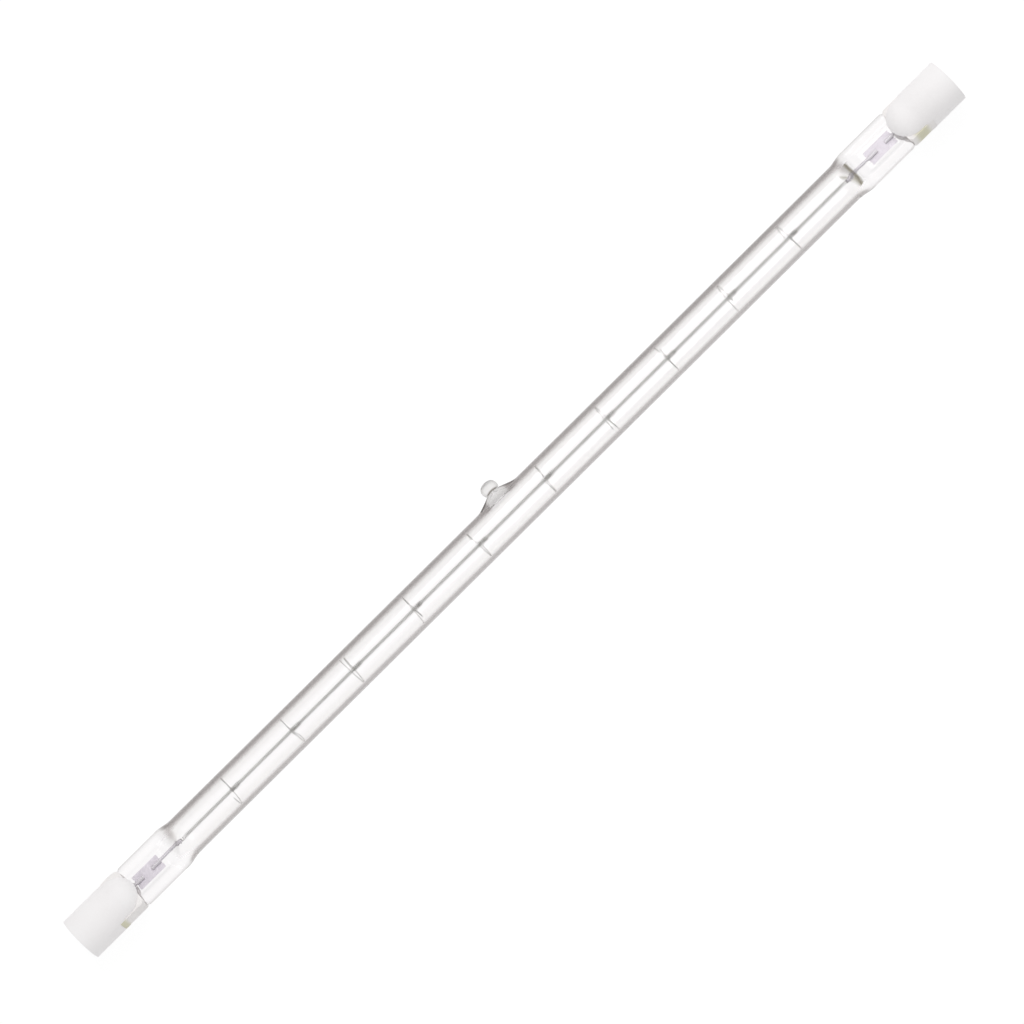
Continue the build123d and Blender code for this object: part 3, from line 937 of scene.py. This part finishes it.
def makeCap(side):
    dome = []
    for number in range(cap["domePoints"] + 1):
        turn = math.pi / 2 * number / cap["domePoints"]
        x = lamp["capMouthX"] + cap["lobeRadius"] * (1 - math.cos(turn))
        dome.append((x, cap["lobeRadius"] * math.sin(turn)))
    noseRadius = lamp["noseRadius"] - cap["inset"]
    endX = lamp["endX"] - cap["inset"]
    nose = [(cap["noseX"] - cap["neck"], cap["lobeRadius"]), (cap["noseX"], noseRadius)]
    face = [(endX, noseRadius), (endX, cap["recessRadius"])]
    recess = [(cap["recessX"], cap["recessRadius"]), (cap["recessX"], cap["pocketRadius"]),
              (cap["pocketX"], cap["pocketRadius"]), (cap["pocketX"], 0)]
    bm = spinProfile(dome + nose + face + recess, side, cap["around"])
    rimX = cap["noseX"] + cap["edgePastNose"]
    rims = [edge for edge in sharpEdges(bm, cap["sharpAngle"]) if abs(edge.verts[0].co.x) > rimX]
    bendEdges(bm, rims, cap["edgeRadius"], cap["edgeSegments"])
    depth = lamp["slotFloorX"] - lamp["capMouthX"] + cap["slotRoom"]
    slot = makeBox((depth, cap["slotAcross"], 2 * cap["slotHalf"]), side * (lamp["slotFloorX"] - depth / 2))
    bm = cutShape(bm, slot)
    lipX = lamp["slotFloorX"] - cap["lipFromFloor"]
    lips = [edge for edge in sharpEdges(bm, cap["sharpAngle"]) if abs(edge.verts[0].co.x) < lipX
            and all(abs(abs(vert.co.z) - cap["slotHalf"]) < cap["lipReach"] for vert in edge.verts)]
    bendEdges(bm, lips, cap["slotEdge"], cap["slotSegments"])
    return bm


contact = {
    "around": 64,
    "floorRoom": 0.02,
    "stemRadius": 1.0,
    "seatX": 124.38,
    "radius": 2.45,
    "faceX": 125.33,
    "face": [(0.3, 2.45), (0.08, 2.25), (0.0, 2.0), (0.02, 1.2), (0.12, 0.75), (0.15, 0.0)],  # drop, radius
}


def makeContact(side):
    floorX = lamp["slotFloorX"] + contact["floorRoom"]
    stem = [(floorX, 0.0), (floorX, contact["stemRadius"]), (contact["seatX"], contact["stemRadius"])]
    face = [(contact["faceX"] - drop, radius) for drop, radius in contact["face"]]
    return spinProfile(stem + [(contact["seatX"], contact["radius"])] + face, side, contact["around"])


cementShape = {
    "startX": {"left": 111.7, "right": 112.3},
    "stopX": 118.63,
    "radius": 5.12,
    "roundness": 0.9,
    "slotHalf": 1.79,
    "sealGap": 0.01,
    "sealFromX": 100.0,
    "sealPast": 0.02,
    "sealAround": 48,
    "frontPoints": 8,
    "around": 64,
    "boxLength": 40,
    "boxAcross": 12,
    "lump": {"x": -114.7, "y": 4.75, "size": (2.9, 0.85, 1.5), "cells": (32, 20), "swell": 0.08,
             "swellScale": 2.2},
}


def makeLump(lump):
    ball = bmesh.new()
    bmesh.ops.create_uvsphere(ball, u_segments=lump["cells"][0], v_segments=lump["cells"][1], radius=1)
    for vert in ball.verts:
        swell = 1 + lump["swell"] * noise.noise(vert.co * lump["swellScale"])
        vert.co = [swell * part * size for part, size in zip(vert.co, lump["size"])]
    bmesh.ops.translate(ball, verts=ball.verts, vec=(lump["x"], lump["y"], 0))
    return ball


def makeSealCutter(side):
    seal = bmesh.new()
    count = cementShape["sealAround"]
    turnLayer, ring, edges = startRing(seal, count)
    halfWidth = envelope["hiddenHalfWidth"] + cementShape["sealGap"]
    halfThickness = envelope["sealHalfThickness"] + cementShape["sealGap"]
    for vert in ring:
        y, z = slotPoint(vert[turnLayer] / count, halfWidth, halfThickness)
        vert.co = (side * cementShape["sealFromX"], y, z)
    bmesh.ops.contextual_create(seal, geom=edges)
    grown = bmesh.ops.extrude_face_region(seal, geom=list(seal.faces))["geom"]
    moved = [item for item in grown if isinstance(item, bmesh.types.BMVert)]
    length = envelope["sealStopX"] + cementShape["sealPast"] - cementShape["sealFromX"]
    bmesh.ops.translate(seal, verts=moved, vec=(side * length, 0, 0))
    bmesh.ops.recalc_face_normals(seal, faces=seal.faces)
    return seal


def makeCement(name, side):
    start = cementShape["startX"][name]
    bend = cementShape["roundness"]
    front = []
    for number in range(cementShape["frontPoints"] + 1):
        turn = math.pi / 2 * number / cementShape["frontPoints"]
        radius = cementShape["radius"] - bend * (1 - math.cos(turn))
        front.append((start + bend * (1 - math.sin(turn)), radius))
    front.sort(key=lambda spot: spot[1])
    back = [(cementShape["stopX"], cementShape["radius"]), (cementShape["stopX"], 0)]
    bm = spinProfile([(start, 0.0)] + front + back, side, cementShape["around"])
    size = (cementShape["boxLength"], cementShape["boxAcross"], 2 * cementShape["slotHalf"])
    bm = cutShape(bm, makeBox(size, side * start), "INTERSECT")
    if side * cementShape["lump"]["x"] > 0:
        bm = cutShape(bm, makeLump(cementShape["lump"]), "UNION")
    return cutShape(bm, makeSealCutter(side))


for name, side in lamp["sides"].items():
    makePiece(makeCap(side), f"{name}Cap", ceramic, [f"{name}_cap"])
    makePiece(makeCement(name, side), f"{name}Cement", cement, [f"{name}_cement"])
    makePiece(makeContact(side), f"{name}Contact", contactMetal, [f"{name}_contact"])

studio = {
    "floorSize": 3.0,
    "floorDrop": 0.02,
    "floorCells": 4,
    "floorLight": 0.75,
    "floorTone": 0.8,
    "shadowShare": 0.14,
    "worldDiffuse": 0.68,
    "worldStops": [(0.0, (0.25, 0.25, 0.25)), (0.5, (0.25, 0.25, 0.25)), (0.62, (0.35, 0.35, 0.35)),
                   (0.8, (0.8, 0.8, 0.8)), (1.0, (0.95, 0.95, 0.95))],
    "imageAngle": 44.73,
    "imageShift": (-0.52, -0.45),
    "lens": 200.0,
    "sensor": 36.0,
    "clipStart": 0.01,
    "distance": 1184.0,
    "key": {"place": (0.2, 0.55, 0.62), "size": 0.5, "power": 2.6},
    "fill": {"place": (-0.25, -0.6, 0.5), "size": 0.7, "power": 0.8},
}


# The floor shows as white wherever it is seen, with a soft shadow, and lights the lamp as a plain pale one.
def makeFloor():
    bm = bmesh.new()
    cells = studio["floorCells"]
    bmesh.ops.create_grid(bm, x_segments=cells, y_segments=cells, size=studio["floorSize"] / 2)
    level = -(lamp["noseRadius"] + studio["floorDrop"]) * lamp["millimetre"]
    bmesh.ops.translate(bm, verts=bm.verts, vec=(0, 0, level))
    mesh = bpy.data.meshes.new("floor")
    bm.to_mesh(mesh)
    bm.free()
    floor = bpy.data.objects.new("floor", mesh)
    bpy.context.scene.collection.objects.link(floor)
    material = bpy.data.materials.new("paleFloor")
    material.use_nodes = True
    tree = material.node_tree
    tree.nodes.remove(tree.nodes["Principled BSDF"])
    out = tree.nodes["Material Output"]
    seen = tree.nodes.new("ShaderNodeEmission")
    seen.inputs["Strength"].default_value = 1.0 - studio["shadowShare"] * studio["floorLight"]
    catch = tree.nodes.new("ShaderNodeBsdfDiffuse")
    catch.inputs["Color"].default_value = (studio["shadowShare"],) * 3 + (1,)
    both = tree.nodes.new("ShaderNodeAddShader")
    tree.links.new(seen.outputs["Emission"], both.inputs[0])
    tree.links.new(catch.outputs["BSDF"], both.inputs[1])
    plain = tree.nodes.new("ShaderNodeBsdfDiffuse")
    plain.inputs["Color"].default_value = (studio["floorTone"],) * 3 + (1,)
    switch = tree.nodes.new("ShaderNodeMixShader")
    shown = pathShare(tree, ["Is Camera Ray", "Is Glossy Ray", "Is Transmission Ray"])
    tree.links.new(shown, switch.inputs["Fac"])
    tree.links.new(plain.outputs["BSDF"], switch.inputs[1])
    tree.links.new(both.outputs["Shader"], switch.inputs[2])
    tree.links.new(switch.outputs["Shader"], out.inputs["Surface"])
    mesh.materials.append(material)


def makeWorld():
    world = bpy.data.worlds.new("studio")
    bpy.context.scene.world = world
    world.use_nodes = True
    tree = world.node_tree
    shade = tree.nodes["Background"]
    place = tree.nodes.new("ShaderNodeTexCoord")
    split = tree.nodes.new("ShaderNodeSeparateXYZ")
    tree.links.new(place.outputs["Generated"], split.inputs["Vector"])
    height = tree.nodes.new("ShaderNodeMapRange")
    height.inputs["From Min"].default_value = -1.0  # straight down
    tree.links.new(split.outputs["Z"], height.inputs["Value"])
    band = addRamp(tree, height.outputs["Result"], studio["worldStops"])
    lit = tree.nodes.new("ShaderNodeMix")
    lit.data_type = "RGBA"
    lit.inputs["A"].default_value = (studio["worldDiffuse"],) * 3 + (1,)
    tree.links.new(pathShare(tree, ["Is Glossy Ray", "Is Transmission Ray"]), lit.inputs["Factor"])
    tree.links.new(band.outputs["Color"], lit.inputs["B"])
    seen = tree.nodes.new("ShaderNodeMix")
    seen.data_type = "RGBA"
    seen.inputs["B"].default_value = (1, 1, 1, 1)
    tree.links.new(pathShare(tree, ["Is Camera Ray"]), seen.inputs["Factor"])
    tree.links.new(lit.outputs["Result"], seen.inputs["A"])
    tree.links.new(seen.outputs["Result"], shade.inputs["Color"])
    shade.inputs["Strength"].default_value = 1.0


def makeLight(name, look):
    light = bpy.data.lights.new(name, "AREA")
    light.size = look["size"]
    light.energy = look["power"]
    item = bpy.data.objects.new(name, light)
    item.location = look["place"]
    item.rotation_euler = Vector(look["place"]).to_track_quat("Z", "Y").to_euler()
    bpy.context.scene.collection.objects.link(item)


# The camera looks straight down with the lamp turned in its frame, as in the photograph.
def makeCamera():
    data = bpy.data.cameras.new("camera")
    data.lens = studio["lens"]
    data.sensor_width = studio["sensor"]
    data.clip_start = studio["clipStart"]
    camera = bpy.data.objects.new("camera", data)
    turn = math.radians(studio["imageAngle"])
    right = Vector((math.cos(turn), -math.sin(turn), 0))
    up = Vector((math.sin(turn), math.cos(turn), 0))
    spot = right * studio["imageShift"][0] + up * studio["imageShift"][1] + Vector((0, 0, studio["distance"]))
    frameTurn = Matrix((right, up, Vector((0, 0, 1)))).transposed().to_4x4()
    camera.matrix_world = Matrix.Translation(spot * lamp["millimetre"]) @ frameTurn
    bpy.context.scene.collection.objects.link(camera)
    bpy.context.scene.camera = camera


makeFloor()
makeWorld()
makeLight("keyLight", studio["key"])
makeLight("fillLight", studio["fill"])
makeCamera()
bpy.context.scene.view_settings.view_transform = "Standard"
print("stage: studio ready")

print("stage: done")
